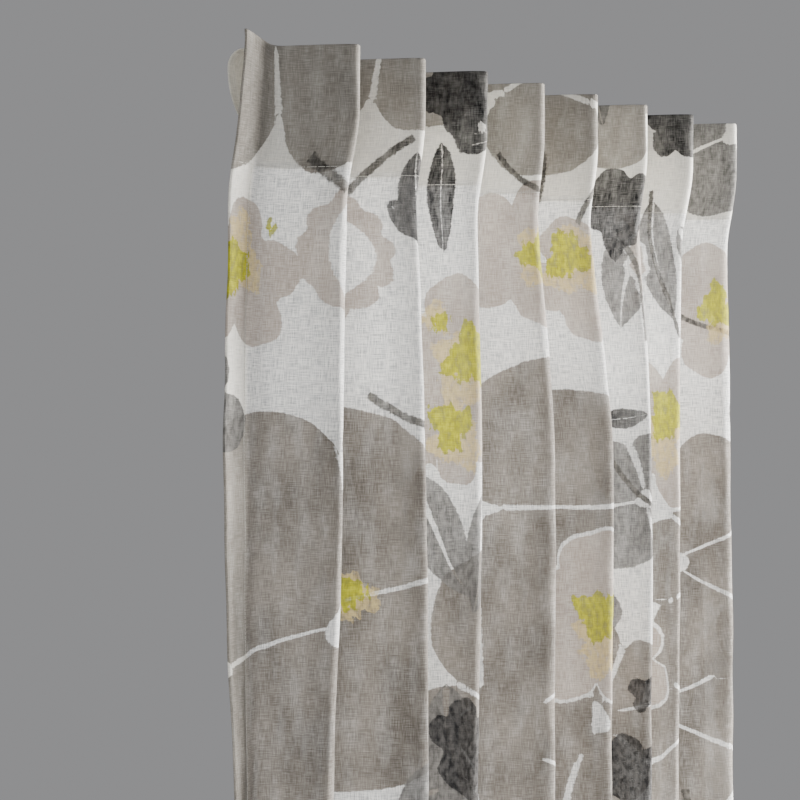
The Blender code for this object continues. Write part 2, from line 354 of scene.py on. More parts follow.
OCHRE_BLOTS = [
    ((0.014, 0.176), 0.030, 0.8), ((0.398, 0.262), 0.032, 0.2), ((0.390, 0.324), 0.026, 1.2),
    ((0.564, 0.158), 0.026, 0.4), ((0.690, 0.158), 0.030, 0.9), ((0.702, 0.520), 0.028, 0.1),
    ((0.206, 0.456), 0.021, 0.5), ((0.984, 0.330), 0.030, 1.6), ((1.148, 0.200), 0.024, 0.3),
    ((0.018, 0.140), 0.008, 0.2), ((0.372, 0.214), 0.012, 1.1),
]
CHARCOAL_LEAVES = [
    ((0.262, 0.078), 0.085, 0.030, 1.45, 0.12), ((0.372, 0.062), 0.098, 0.026, 1.50, -0.10),
    ((0.382, 0.066), 0.046, 0.018, -0.25, 0.20), ((0.240, 0.120), 0.050, 0.022, 0.70, 0.18),
    ((0.400, 0.580), 0.080, 0.026, 1.20, 0.15), ((0.372, 0.610), 0.070, 0.028, 0.50, -0.15),
    ((0.812, 0.306), 0.042, 0.020, -0.15, 0.15), ((0.842, 0.095), 0.060, 0.024, 1.75, 0.10),
    ((0.262, 0.306), 0.036, 0.012, 0.55, 0.10), ((1.035, 0.080), 0.080, 0.028, 1.40, 0.12),
    ((1.010, 0.600), 0.070, 0.026, 0.90, -0.12),
]
CHARCOAL_BLOSSOMS = [
    ((0.390, 0.016), 0.044, 0.5), ((0.838, 0.098), 0.040, 0.3), ((0.990, 0.008), 0.038, 1.0),
    ((0.398, 0.585), 0.034, 0.9),
]
CHARCOAL_BERRIES = [
    ((0.850, 0.575), 0.016, 0.0100, 5, 5), ((1.040, 0.180), 0.014, 0.0085, 5, 3),
]
GREY_LEAVES = [
    ((0.352, 0.352), 0.120, 0.046, 1.15, 0.12), ((0.418, 0.372), 0.105, 0.036, 1.70, -0.12),
    ((0.858, 0.110), 0.110, 0.048, 1.80, 0.12), ((0.968, 0.085), 0.125, 0.040, 1.35, 0.12),
    ((1.000, 0.110), 0.085, 0.030, 0.90, 0.15), ((1.230, 0.560), 0.110, 0.044, 1.25, -0.12),
    ((0.455, 0.020), 0.090, 0.036, 1.10, 0.12), ((0.380, 0.540), 0.120, 0.050, 1.40, 0.10),
]
STEMS = [
    ((0.080, 0.090), 0.036, 0.026, 0.0095, 0.03), ((0.205, 0.112), 0.052, -0.046, 0.0070, -0.05),
    ((0.222, 0.285), 0.050, 0.026, 0.0065, 0.08), ((0.652, 0.118), 0.004, -0.066, 0.0065, 0.06),
    ((0.694, 0.120), 0.032, -0.046, 0.0055, -0.06), ((0.806, 0.318), 0.056, 0.075, 0.0055, 0.10),
    ((0.836, 0.120), 0.020, 0.110, 0.0050, -0.06), ((0.966, 0.075), 0.040, 0.150, 0.0045, 0.05),
    ((0.520, 0.060), 0.050, 0.040, 0.0050, 0.10), ((1.050, 0.160), 0.120, 0.060, 0.0050, 0.08),
]
DRAWINGS = {
    "blush": [(blossom, BLUSH_FLOWERS), (wreath, BLUSH_WREATHS)],
    "taupe": [(bloom, TAUPE_BLOOMS)],
    "grey": [(bloom, GREY_BLOOMS), (leaf, GREY_LEAVES)],
    "stem": [(stem, STEMS)],
    "charcoal": [(leaf, CHARCOAL_LEAVES), (blossom, CHARCOAL_BLOSSOMS), (berries, CHARCOAL_BERRIES)],
    "ochre": [(heart_of, OCHRE_BLOTS)],
    "citron": [(heart_of, CITRON_HEARTS)],
}
VEINS = {"taupe": 0.0026, "grey": 0.0026, "charcoal": 0.0004}   # half widths left undyed
BLUSH_MARGIN = 0.004            # the large dyes stop this far from a blush flower


def dyes(flat, drop):
    """Each dye's largest edge field, that motif's line, and how nearly a second motif shares the
    place, which hides the line. The drawing is bent a little, as by a free hand, and the two
    large dyes stop short of the blush flowers."""
    flat_shift = flat + 0.0035 * ripple(flat * 40, drop * 40, 21)
    drop_shift = drop + 0.0035 * ripple(flat * 38, drop * 42, 22)
    fine = 0.0008 * ripple(flat * 260, drop * 260, 23)
    fields = {}
    for dye, drawings in DRAWINGS.items():
        edge = np.full(flat.shape, -NO_LINE)
        second = edge.copy()
        line = -edge
        for draw, motifs in drawings:
            for place, *values in motifs:
                own_edge, own_line = draw(*from_motif(flat_shift, drop_shift, place), *values)
                line = np.where(own_edge > edge, own_line, line)
                second = np.maximum(second, np.minimum(edge, own_edge))
                edge = np.maximum(edge, own_edge)
        fields[f"{dye}_edge"] = np.minimum(edge, NO_LINE) + (fine if dye != "stem" else 0)
        if dye == "stem" or dye in VEINS:
            fields[f"{dye}_line"] = line
        if dye in VEINS:
            fields[f"{dye}_shared"] = np.clip(NO_LINE - (edge - second), 0, NO_LINE)
    margin = -fields["blush_edge"] - BLUSH_MARGIN
    for dye in ("taupe", "grey"):
        fields[f"{dye}_edge"] = np.minimum(fields[f"{dye}_edge"], margin)
    return fields


def node(tree, kind, values=None, **settings):
    """A shader node with its settings, and its inputs linked or set by name or number."""
    made = tree.nodes.new("ShaderNode" + kind)
    for setting, value in settings.items():
        setattr(made, setting, value)
    for key, value in (values or {}).items():
        if isinstance(value, bpy.types.NodeSocket):
            tree.links.new(value, made.inputs[key])
        else:
            made.inputs[key].default_value = value
    return made


def attribute(tree, name):
    """A value stored on the piece's points."""
    return node(tree, "Attribute", attribute_name=name).outputs["Fac"]


def mix_colour(tree, share, first, second, blend="MIX"):
    """first + share (second - first), or another blend of the two colours."""
    made = node(tree, "Mix", {0: share, 6: first, 7: second}, data_type="RGBA", blend_type=blend)
    return made.outputs[2]


def arithmetic(tree, operation, first, second=0.0, third=0.0):
    """One step of arithmetic on two or three values."""
    return node(tree, "Math", {0: first, 1: second, 2: third}, operation=operation).outputs[0]


def between(tree, value, low, high, to_low=0.0, to_high=1.0):
    """A value carried in a straight line from low..high to to_low..to_high, and held there."""
    ends = {"From Min": low, "From Max": high, "To Min": to_low, "To Max": to_high}
    return node(tree, "MapRange", {"Value": value, **ends}).outputs[0]


def thread_noise(tree, cloth, across, down, detail=2.0, offset=0.0):
    """Noise stretched along the threads: counts per metre across and down the flat cloth."""
    placed = node(tree, "Mapping", {0: cloth, 1: (offset, offset, 0), 3: (across, down, 1)})
    values = {"Vector": placed.outputs[0], "Scale": 1.0, "Detail": detail}
    return node(tree, "TexNoise", values).outputs[0]


def rgb(red, green, blue):
    """A linear colour with full alpha."""
    return (red, green, blue, 1.0)


GROUND = rgb(0.800, 0.795, 0.772)
# Painted shade: the dark room behind, seen through the open weave, is painted into the cloth's colour in
# its gaps.
GAPS_PAINTED_SHADE = rgb(0.410, 0.425, 0.440)
# Painted light: where the cloth is doubled its ground is painted lighter and warmer, for the light that
# the layer behind sends back.
DOUBLED_PAINTED_LIGHT = rgb(0.880, 0.850, 0.765)
DYES = [  # dye, light and dark washes, how much of the ground it hides where thin and thick
    ("blush", rgb(0.425, 0.370, 0.322), rgb(0.335, 0.285, 0.246), 0.84, 0.96),
    ("taupe", rgb(0.222, 0.196, 0.166), rgb(0.116, 0.100, 0.082), 0.84, 0.98),
    ("grey", rgb(0.210, 0.203, 0.192), rgb(0.095, 0.092, 0.088), 0.84, 0.97),
    ("stem", rgb(0.150, 0.141, 0.124), rgb(0.022, 0.020, 0.019), 0.80, 0.98),
    ("charcoal", rgb(0.080, 0.077, 0.075), rgb(0.003, 0.003, 0.004), 0.88, 1.00),
    ("ochre", rgb(0.620, 0.500, 0.240), rgb(0.560, 0.420, 0.150), 0.15, 0.80),
    ("citron", rgb(0.500, 0.490, 0.015), rgb(0.250, 0.262, 0.001), 0.80, 1.00),
]
STEM_HALF = 0.0025              # half width of a stalk's line
DYE_EDGE = 0.0005               # a dye fades over this distance each side of its edge
SLUB_WHITE = rgb(0.93, 0.92, 0.89)
# Noise counts per metre across and down the flat cloth.
WARP_THREADS, WEFT_THREADS = (1750, 95), (90, 1750)
WARP_SLUBS, WEFT_SLUBS = (900, 14), (24, 900)
BLOTCHES, BRUSHED, FLECKS, BLEED = (22, 13), (80, 24), (240, 130), (330, 330)


def dyed_shape(tree, dye, noise, fray):
    """Where a dye lies, from 0 to 1: its field, cut by its own line, frayed by a noise and
    thresholded at 0."""
    field = attribute(tree, f"{dye}_edge")
    if dye == "stem":
        off_line = arithmetic(tree, "ABSOLUTE", attribute(tree, "stem_line"))
        stroke = arithmetic(tree, "MULTIPLY_ADD", off_line, -STEM_HALF, STEM_HALF)
        field = arithmetic(tree, "MINIMUM", field, stroke)
    elif dye in VEINS:
        off_line = arithmetic(tree, "ABSOLUTE", attribute(tree, f"{dye}_line"))
        off_vein = arithmetic(tree, "ADD", off_line, -VEINS[dye])
        off_vein = arithmetic(tree, "ADD", off_vein, attribute(tree, f"{dye}_shared"))
        field = arithmetic(tree, "MINIMUM", field, off_vein)
    frayed = arithmetic(tree, "MULTIPLY_ADD", noise, fray, -fray / 2)
    return between(tree, arithmetic(tree, "ADD", field, frayed), -DYE_EDGE, DYE_EDGE)


def linen_material(name, sheer, holes, ground, gaps):
    """Slubbed linen: the mean of two stretched noises is its weave, slubs are the peaks of two
    longer ones, and each dye is laid over the last where its shape lies. Threads pass on the
    sheer share of the light, and the most open gaps let the holes share straight through."""
    material = bpy.data.materials.new(name)
    material.use_nodes = True
    tree = material.node_tree
    tree.nodes.clear()
    cloth = node(tree, "UVMap", uv_map="cloth").outputs[0]
    warp = thread_noise(tree, cloth, *WARP_THREADS)
    weft = thread_noise(tree, cloth, *WEFT_THREADS, offset=3.0)
    warp_slub = between(tree, thread_noise(tree, cloth, *WARP_SLUBS, 1.0, 7.0), 0.58, 0.74)
    weft_slub = between(tree, thread_noise(tree, cloth, *WEFT_SLUBS, 1.0, 11.0), 0.60, 0.76)
    half_weft = arithmetic(tree, "MULTIPLY", weft, 0.5)
    weave = arithmetic(tree, "MULTIPLY_ADD", warp, 0.5, half_weft)
    slubs = arithmetic(tree, "MAXIMUM", warp_slub, weft_slub)
    woven = between(tree, weave, 0.36, 0.64)
    blotches = thread_noise(tree, cloth, *BLOTCHES, 3.0, 1.0)
    brushed = thread_noise(tree, cloth, *BRUSHED, 3.0, 5.0)
    flecks = thread_noise(tree, cloth, *FLECKS, 4.0, 13.0)
    bleed = thread_noise(tree, cloth, *BLEED, 3.0, 9.0)

    doubled = attribute(tree, "doubled")
    # The open places of the weave are painted towards the gaps' colour, a painted shade of the dark room
    # behind, and less so where the cloth is doubled.
    thin_places = between(tree, woven, 0.66, 0.14)
    openness = arithmetic(tree, "MULTIPLY", thin_places, between(tree, doubled, 0, 1, 0.85, 0.22))
    colour = mix_colour(tree, openness, ground, gaps)
    # Painted light: doubled cloth is painted lighter and warmer.
    doubled_painted_light = arithmetic(tree, "MULTIPLY", doubled, 0.65)
    colour = mix_colour(tree, doubled_painted_light, colour, DOUBLED_PAINTED_LIGHT)
    colour = mix_colour(tree, arithmetic(tree, "MULTIPLY", slubs, 0.62), colour, SLUB_WHITE)
    for dye, light, dark, thin, thick in DYES:
        painted = dye in ("ochre", "citron")
        shape = dyed_shape(tree, dye, *((flecks, 0.022) if painted else (bleed, 0.0034)))
        tone = blotches if dye in ("taupe", "blush") else flecks
        wash = mix_colour(tree, between(tree, tone, 0.36, 0.64), light, dark)
        # Painted light: on doubled cloth the taupe is painted a little lighter too.
        if dye == "taupe":
            lifted = arithmetic(tree, "MULTIPLY", doubled, 0.12)
            wash = mix_colour(tree, lifted, wash, DOUBLED_PAINTED_LIGHT)
        rubbed = between(tree, flecks if painted else brushed, 0.68, 0.46, thin, thick)
        held = arithmetic(tree, "MULTIPLY", rubbed, between(tree, woven, 0.95, 0.30, 0.86, 1.0))
        colour = mix_colour(tree, arithmetic(tree, "MULTIPLY", shape, held), colour, wash)
    # Painted light and shade of the weave: the colour is multiplied darker in its low places and lighter
    # on its raised threads, on top of the bump.
    weave_painted_shade = between(tree, weave, 0.37, 0.63, 0.82, 1.12)
    shade = node(tree, "CombineColor", {0: weave_painted_shade, 1: weave_painted_shade, 2: weave_painted_shade}).outputs[0]
    colour = mix_colour(tree, 1.0, colour, shade, "MULTIPLY")

    height = arithmetic(tree, "MULTIPLY_ADD", slubs, 0.35, weave)
    bump = node(tree, "Bump", {"Strength": 0.5, "Distance": 0.0004, "Height": height}).outputs[0]
    surface = node(tree, "BsdfPrincipled", {"Base Color": colour, "Normal": bump})
    tree.links.new(between(tree, weave, 0.3, 0.7, 0.92, 0.78), surface.inputs["Roughness"])
    surface.inputs["Sheen Weight"].default_value = 0.04
    surface.inputs["Sheen Roughness"].default_value = 0.5
    surface.inputs["Specular IOR Level"].default_value = 0.18
    glow = node(tree, "BsdfTranslucent", {"Color": colour, "Normal": bump})
    solid = node(tree, "MixShader", {0: sheer, 1: surface.outputs[0], 2: glow.outputs[0]})
    clear = node(tree, "BsdfTransparent")
    gap = arithmetic(tree, "MULTIPLY", openness, holes)
    full = node(tree, "MixShader", {0: gap, 1: solid.outputs[0], 2: clear.outputs[0]})
    node(tree, "OutputMaterial", {0: full.outputs[0]})
    return material


FACE_LINEN = linen_material("slubbed_linen_face", 0.24, 0.14, GROUND, GAPS_PAINTED_SHADE)
HEADER_DEPTH = 0.100
BOTTOM_HEM_DEPTH = 0.102
SIDE_HEM_WIDTH = 0.027
HEM_BLUR = 0.0008               # a hem's edge shows through over this distance each side


# This mask also places the painted light where the cloth is doubled.
def doubled_cloth(flat, drop):
    """1 where a hem or the heading backs the face, 0 where it hangs single."""
    from_top = HEADER_DEPTH - drop
    from_foot = drop - (LENGTH - BOTTOM_HEM_DEPTH)
    from_side = SIDE_HEM_WIDTH - np.minimum(flat, FLAT_WIDTH - flat)
    return ease(-HEM_BLUR, HEM_BLUR, np.maximum(np.maximum(from_top, from_foot), from_side))


def turned(distance):
    """A turned edge at 0: how far in the cloth is, and along a half circle past the edge, how
    far it rolls out and how far it goes back."""
    round_edge = math.pi * EDGE_ROLL
    angle = np.clip(-distance / EDGE_ROLL, 0, math.pi)
    inward = np.where(distance > 0, distance, np.maximum(-distance - round_edge, 0))
    return inward, EDGE_ROLL * np.sin(angle), EDGE_ROLL * (1 - np.cos(angle))


def face_point(flat, drop):
    """Place of the face panel, which rolls over at its top, bottom and side edges."""
    in_left, out_left, back_left = turned(flat)
    in_right, out_right, back_right = turned(FLAT_WIDTH - flat)
    in_top, out_top, back_top = turned(drop)
    in_foot, out_foot, back_foot = turned(LENGTH - EDGE_ROLL - drop)
    across = np.where(flat < FLAT_WIDTH / 2, in_left, FLAT_WIDTH - in_right)
    down = np.where(drop < LENGTH / 2, in_top, LENGTH - EDGE_ROLL - in_foot)
    back = np.minimum(back_left + back_right + back_top + back_foot, 2 * EDGE_ROLL)
    place, normal = set_back(across, down, back)
    place[..., 0] += out_right - out_left
    place[..., 2] += out_top - out_foot
    return place


EDGE_STEPS = 6                  # rows of cloth round a turned edge, with the last on its back


def edge_steps(inner):
    """Positions that carry a row of cloth round a turned edge and a little way back."""
    around = -np.linspace(0, math.pi * EDGE_ROLL, EDGE_STEPS)[1:]
    return np.concatenate(([around[-1] - RETURN_LAP], around[::-1], inner))


def fold_columns(count):
    """Places across the flat cloth, closer together where the folds turn at their crests."""
    even = np.linspace(0, FLAT_WIDTH, 4001)
    crests = np.interp(FOLD_MIDDLES[1:-1], ROD_SAMPLES, CLOTH_USED)
    crowd = 1 + 1.6 * sum(np.exp(-((even - crest) / 0.016) ** 2) for crest in crests)
    share = np.concatenate(([0], np.cumsum((crowd[1:] + crowd[:-1]) / 2)))
    return np.interp(np.linspace(0, 1, count), share / share[-1], even)


FACE_COLUMNS, FACE_ROWS = 326, 276
face_across = edge_steps(fold_columns(FACE_COLUMNS))
face_across = np.concatenate((face_across, FLAT_WIDTH - face_across[:EDGE_STEPS][::-1]))
face_down = edge_steps(np.linspace(0, LENGTH - EDGE_ROLL, FACE_ROWS))
face_down = np.concatenate((face_down, LENGTH - EDGE_ROLL - face_down[:EDGE_STEPS][::-1]))
flat, drop = np.meshgrid(face_across, face_down)
face_facts = dyes(flat, drop)
face_facts["doubled"] = doubled_cloth(flat, drop)
face_facts["cloth"] = np.stack([flat.ravel(), -drop.ravel()], -1)
face_points = face_point(flat, drop).reshape(-1, 3)
face_squares = grid_faces(*flat.shape)
face_panel = make_piece("face_panel_linen", face_points, face_squares, face_facts, FACE_LINEN)
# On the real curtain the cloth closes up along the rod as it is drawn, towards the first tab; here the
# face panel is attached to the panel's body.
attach(face_panel, "panel")
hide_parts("face_panel")
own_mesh(face_panel)


# ---- Header facing --------------------------------------------------------------------------
# A strip of the same linen, folded double behind the heading. The tabs are sewn to it, and its
# lower edge is caught by the heading's line of stitching.

FACING_INSET = 0.0014           # how far a backing layer lies behind the cloth's face
FACING_THICK = 0.0007
TOP_MARGIN = 0.0012             # backing layers stop this far inside the turned top edge
FOOT_MARGIN = 0.0025            # and this far inside the foot
LAYER_EDGE = 0.0008             # a layer thins towards its side edges over this width
# Painted shade: the facing and hems use darker copies of the face's ground and gaps, for cloth that hangs
# in the face's shade.
BACK_GROUND_SHADED, BACK_GAPS_PAINTED_SHADE = rgb(0.66, 0.645, 0.595), rgb(0.42, 0.42, 0.41)
BACK_LINEN = linen_material("slubbed_linen_back", 0.08, 0.02, BACK_GROUND_SHADED, BACK_GAPS_PAINTED_SHADE)


def layer_faces(rows, columns):
    """Squares of a closed layer: the front grid, the back grid turned round, and the rim."""
    back = grid_faces(rows, columns, start=rows * columns, flip=True)
    return np.concatenate([grid_faces(rows, columns), back, rim_faces(rows, columns)])


def layer_piece(name, across, down, inset, thickness, material):
    """A closed flat layer that follows the hung cloth: front and back grids joined by a rim."""
    flat, drop = np.meshgrid(across, down)
    full = np.minimum(1, np.minimum(flat - across[0], across[-1] - flat) / LAYER_EDGE + 0.45)
    thinned = (1 - full) * thickness / 2
    front, _ = set_back(flat, drop, inset + thinned)
    back, _ = set_back(flat, drop, inset + thickness - thinned)
    squares = layer_faces(*flat.shape)
    facts = {key: np.tile(value.ravel(), 2) for key, value in dyes(flat, drop).items()}
    facts["doubled"] = np.ones(2 * flat.size)
    facts["cloth"] = np.tile(np.stack([flat.ravel(), -drop.ravel()], -1), (2, 1))
    points = np.concatenate([front.reshape(-1, 3), back.reshape(-1, 3)])
    return make_piece(name, points, squares, facts, material)


def closes_with_panel(piece, cad_node):
    """Declare a piece sewn to the panel: attach it to the panel's body and hide the part that it replaces.
    """
    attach(piece, "panel")
    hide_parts(cad_node)
    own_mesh(piece)


backing_across = fold_columns(FACE_COLUMNS)[1:-1]
header_facing = layer_piece(
    "header_facing_linen", backing_across, np.linspace(TOP_MARGIN, HEADER_DEPTH, 18),
    FACING_INSET, FACING_THICK, BACK_LINEN,
)
closes_with_panel(header_facing, "header_facing")


# ---- Side hems ------------------------------------------------------------------------------
# The face's own edges, turned twice to the back into a firm strip 27 mm wide on each side.
# Each strip runs the whole length and is sewn down along its inner edge.

SIDE_HEM_INSET = 0.0004
SIDE_HEM_THICK = 0.0008
SIDE_MARGIN = 0.0006            # the hem's fold lies this far inside the panel's turned edge
SIDES = (
    ("left", SIDE_MARGIN, SIDE_HEM_WIDTH),
    ("right", FLAT_WIDTH - SIDE_HEM_WIDTH, FLAT_WIDTH - SIDE_MARGIN),
)
hem_down = np.linspace(TOP_MARGIN, LENGTH - FOOT_MARGIN, 240)
for side, start, end in SIDES:
    side_hem = layer_piece(
        f"side_hem_{side}_linen", np.linspace(start, end, 9), hem_down,
        SIDE_HEM_INSET, SIDE_HEM_THICK, BACK_LINEN,
    )
    closes_with_panel(side_hem, f"side_hem_{side}")


# ---- Bottom hem -----------------------------------------------------------------------------
# A deep double hem that gives the panel its weight, 102 mm from its fold to its stitching.
# It is the panel's own linen, so the print shows on it and no light comes through.

bottom_hem = layer_piece(
    "bottom_hem_linen", backing_across, np.linspace(LENGTH - BOTTOM_HEM_DEPTH, LENGTH - FOOT_MARGIN, 18),
    FACING_INSET, FACING_THICK, BACK_LINEN,
)
closes_with_panel(bottom_hem, "bottom_hem")


# ---- Back tabs ------------------------------------------------------------------------------
# Nine loops of linen behind the heading. The rod passes between each loop and the facing, so
# that the cloth hangs in front of the rod in even folds and the tabs stay out of sight.

ROD_GRIP = 0.0137               # radius of a tab's inner side over a 25.4 mm rod
TAB_WIDTH = 0.038
TAB_TOP = 0.0016                # a tab's top end lies this far below the top edge
TAB_TOP_SEWN = 0.0050
TAB_FOOT_SEWN = 0.0770
TAB_FOOT = 0.0880
LAP_INSET = 0.0027              # a tab's sewn ends lie this far behind the cloth's face
TAB_THICK = 0.0010
TAB_SLACK = 0.0006              # how far a tab bows out and how much it ripples
ROD_ARC = (104, 88, 70, 52, 34, 16, 0)      # degrees round the rod, from its top to its back
# Painted shade: the tabs use a still darker copy of the linen's ground and gaps, for the shade behind the
# heading.
TAB_GROUND_SHADED, TAB_GAPS_PAINTED_SHADE = rgb(0.575, 0.560, 0.510), rgb(0.36, 0.36, 0.35)
TAB_LINEN = linen_material("slubbed_linen_tab", 0.18, 0.02, TAB_GROUND_SHADED, TAB_GAPS_PAINTED_SHADE)


def tab_rows(along):
    """Rows of a tab's inner side: its top end, an arc round the rod, a parabola down to its
    foot. They are spaced out to 61 by straight lines, then smoothed by five 1-2-1 averages."""
    flat = np.interp(along, ROD_SAMPLES, CLOTH_USED)
    sewn = {drop: set_back(flat, np.full(along.shape, drop), LAP_INSET)[0]
            for drop in (TAB_TOP, TAB_TOP_SEWN, TAB_FOOT_SEWN, TAB_FOOT)}
    rows = [sewn[TAB_TOP], sewn[TAB_TOP_SEWN]]
    for angle in np.radians(ROD_ARC):
        behind = np.full(along.shape, ROD_GRIP * math.cos(angle))
        above = np.full(along.shape, ROD_GRIP * math.sin(angle))
        rows.append(np.stack([along, behind, above], -1))
    leaving, landing = rows[-1], sewn[TAB_FOOT_SEWN]
    for share in (0.2, 0.4, 0.6, 0.8):
        rows.append(leaving + (landing - leaving) * [share, share ** 2, share])
    rows = np.array(rows + [landing, sewn[TAB_FOOT]])
    steps = np.linspace(0, len(rows) - 1, 61)
    below = np.minimum(steps.astype(int), len(rows) - 2)
    fine = rows[below] + (rows[below + 1] - rows[below]) * (steps - below)[:, None, None]
    for _ in range(5):
        fine[1:-1] = (fine[:-2] + 2 * fine[1:-1] + fine[2:]) / 4
    return fine


def tab_body(number):
    """The body a tab rides on: the first stays by the bracket, and the last leads."""
    if number == 1:
        return "panel"
    return "leading_edge" if number == TABS else f"tab_{number}"


def surface_normals(points):
    """Unit normals of a grid of points, from the cross product of its row and column steps."""
    normal = np.cross(np.gradient(points, axis=1), np.gradient(points, axis=0))
    return normal / np.linalg.norm(normal, axis=-1, keepdims=True)


for number, middle in enumerate(TAB_MIDDLES, start=1):
    across = np.linspace(-TAB_WIDTH / 2, TAB_WIDTH / 2, 15)
    inner = tab_rows(middle + across)
    rows, columns = inner.shape[:2]
    sag = ripple(across[None, :] * 180, np.linspace(0, 9, rows)[:, None], 30 + number)
    free = ease(4, 14, np.arange(rows)) * ease(56, 44, np.arange(rows))
    outwards = surface_normals(inner)
    inner = inner + outwards * (TAB_SLACK * (1 + sag) * free[:, None])[..., None]
    edge = np.clip((TAB_WIDTH / 2 - np.abs(across)) / 0.0009 + 0.4, 0, 1)[None, :, None]
    outer = inner + outwards * TAB_THICK * edge
    flat = np.broadcast_to(0.31 * number + across, (rows, columns))
    drop = np.broadcast_to(np.linspace(0, 0.135, rows)[:, None] + 0.07 * number, (rows, columns))
    facts = {key: np.tile(value.ravel(), 2) for key, value in dyes(flat, drop).items()}
    facts["doubled"] = np.ones(2 * flat.size)
    facts["cloth"] = np.tile(np.stack([flat.ravel(), -drop.ravel()], -1), (2, 1))
    points = np.concatenate([inner.reshape(-1, 3), outer.reshape(-1, 3)])
    tab = make_piece(f"back_tab_{number}_linen", points, layer_faces(rows, columns), facts, TAB_LINEN)
    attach(tab, tab_body(number))
    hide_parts(f"back_tab_{number}")


# ---- Stitching ------------------------------------------------------------------------------
# Lockstitch in matt spun thread along the heading, the hems and the ends of the tabs. Each line
# is one thread that dips into the cloth at every stitch.

STITCH_LENGTH = 0.0032
STITCH_LIFT, STITCH_DIP = 0.00014, 0.00060      # off the cloth in mid stitch, and down at its ends
SEAM_INSET = 0.002              # a seam runs this far inside the edge that it holds
THREAD_RADIUS = 0.00022
THREAD_SIDES = 4
THREAD_DARK, THREAD_LIGHT = rgb(0.58, 0.56, 0.50), rgb(0.76, 0.74, 0.68)


def thread_material():
    """Matt spun thread: a fine twist of light and dark along each stitch."""
    material = bpy.data.materials.new("matt_spun_thread")
    material.use_nodes = True
    tree = material.node_tree
    surface = tree.nodes["Principled BSDF"]
    place = node(tree, "TexCoord").outputs["Object"]
    twist = node(tree, "TexNoise", {"Vector": place, "Scale": 2600.0, "Detail": 2.0}).outputs[0]
    colour = mix_colour(tree, between(tree, twist, 0.35, 0.65), THREAD_DARK, THREAD_LIGHT)
    tree.links.new(colour, surface.inputs["Base Color"])
    bump = node(tree, "Bump", {"Strength": 0.4, "Distance": 0.0001, "Height": twist}).outputs[0]
    tree.links.new(bump, surface.inputs["Normal"])
    surface.inputs["Roughness"].default_value = 0.72
    surface.inputs["Sheen Weight"].default_value = 0.2
    return material


THREAD = thread_material()


def thread_tube(path, outwards):
    """A round thread along a path: a ring of points about each step, closed at both ends."""
    forward = np.gradient(path, axis=0)
    forward /= np.linalg.norm(forward, axis=1, keepdims=True)
    sideways = np.cross(forward, outwards)
    sideways /= np.linalg.norm(sideways, axis=1, keepdims=True)
    upward = np.cross(sideways, forward)
    angles = (np.arange(THREAD_SIDES) * 2 * math.pi / THREAD_SIDES)[:, None]
    ring = sideways[:, None] * np.cos(angles) + upward[:, None] * np.sin(angles)
    radius = np.full((len(path), 1, 1), THREAD_RADIUS)
    radius[[0, -1]] *= 0.15
    points = path[:, None] + ring * radius
    steps = np.arange(len(path) - 1)[:, None] * THREAD_SIDES
    this = steps + np.arange(THREAD_SIDES)
    following = steps + (np.arange(THREAD_SIDES) + 1) % THREAD_SIDES
    squares = np.stack([this, this + THREAD_SIDES, following + THREAD_SIDES, following], -1).reshape(-1, 4)
    last = (len(path) - 1) * THREAD_SIDES
    ends = [[0, 1, 2, 3], [last + 3, last + 2, last + 1, last]]
    return points.reshape(-1, 3), np.concatenate([squares, ends])


def sewn_line(flat, drop, inset, outward_sign):
    """One line of stitches on the hung cloth: |sin|^0.35 of the run, dipping at every stitch."""
    place, normal = set_back(flat, drop, 0.0)
    run = np.concatenate(([0], np.cumsum(np.hypot(np.diff(flat), np.diff(drop)))))
    lift = np.abs(np.sin(math.pi * run / STITCH_LENGTH)) ** 0.35
    depth = inset + outward_sign * (STITCH_LIFT - STITCH_DIP * (1 - lift))
    return thread_tube(place + normal * depth[:, None], normal * outward_sign)


def make_stitching(name, lines):
    """One mesh from several sewn lines, such as a seam's two sides."""
    all_points, all_squares, count = [], [], 0
    for points, squares in lines:
        all_points.append(points)
        all_squares.append(squares + count)
        count += len(points)
    return make_piece(name, np.concatenate(all_points), np.concatenate(all_squares), {}, THREAD)


def seam_shares(length):
    """Shares from 0 to 1 along a seam of this length, six to a stitch."""
    return np.linspace(0, 1, int(length / STITCH_LENGTH * 6))


LEVEL_RUN = FLAT_WIDTH - 2 * SEAM_INSET
FALL_RUN = LENGTH - HEADER_DEPTH - BOTTOM_HEM_DEPTH
level = SEAM_INSET + seam_shares(LEVEL_RUN) * LEVEL_RUN
fall_line = HEADER_DEPTH + seam_shares(FALL_RUN - SEAM_INSET) * FALL_RUN
header_line = np.full(level.shape, HEADER_DEPTH - SEAM_INSET)
bottom_line = np.full(level.shape, LENGTH - BOTTOM_HEM_DEPTH + SEAM_INSET)
back_of_facing = FACING_INSET + FACING_THICK
back_of_side_hem = SIDE_HEM_INSET + SIDE_HEM_THICK
left_line = np.full(fall_line.shape, SIDE_HEM_WIDTH - SEAM_INSET)
SEAMS = (   # name, places across the flat cloth and down it, and how far back the seam comes out
    ("header_stitch", level, header_line, back_of_facing),
    ("bottom_stitch", level, bottom_line, back_of_facing),
    ("side_stitch_left", left_line, fall_line, back_of_side_hem),
    ("side_stitch_right", FLAT_WIDTH - left_line, fall_line, back_of_side_hem),
)
for name, across, down, back in SEAMS:
    front_line = sewn_line(across, down, 0.0, -1)
    back_line = sewn_line(across, down, back, 1)
    seam = make_stitching(f"{name}_thread", [front_line, back_line])
    closes_with_panel(seam, name)

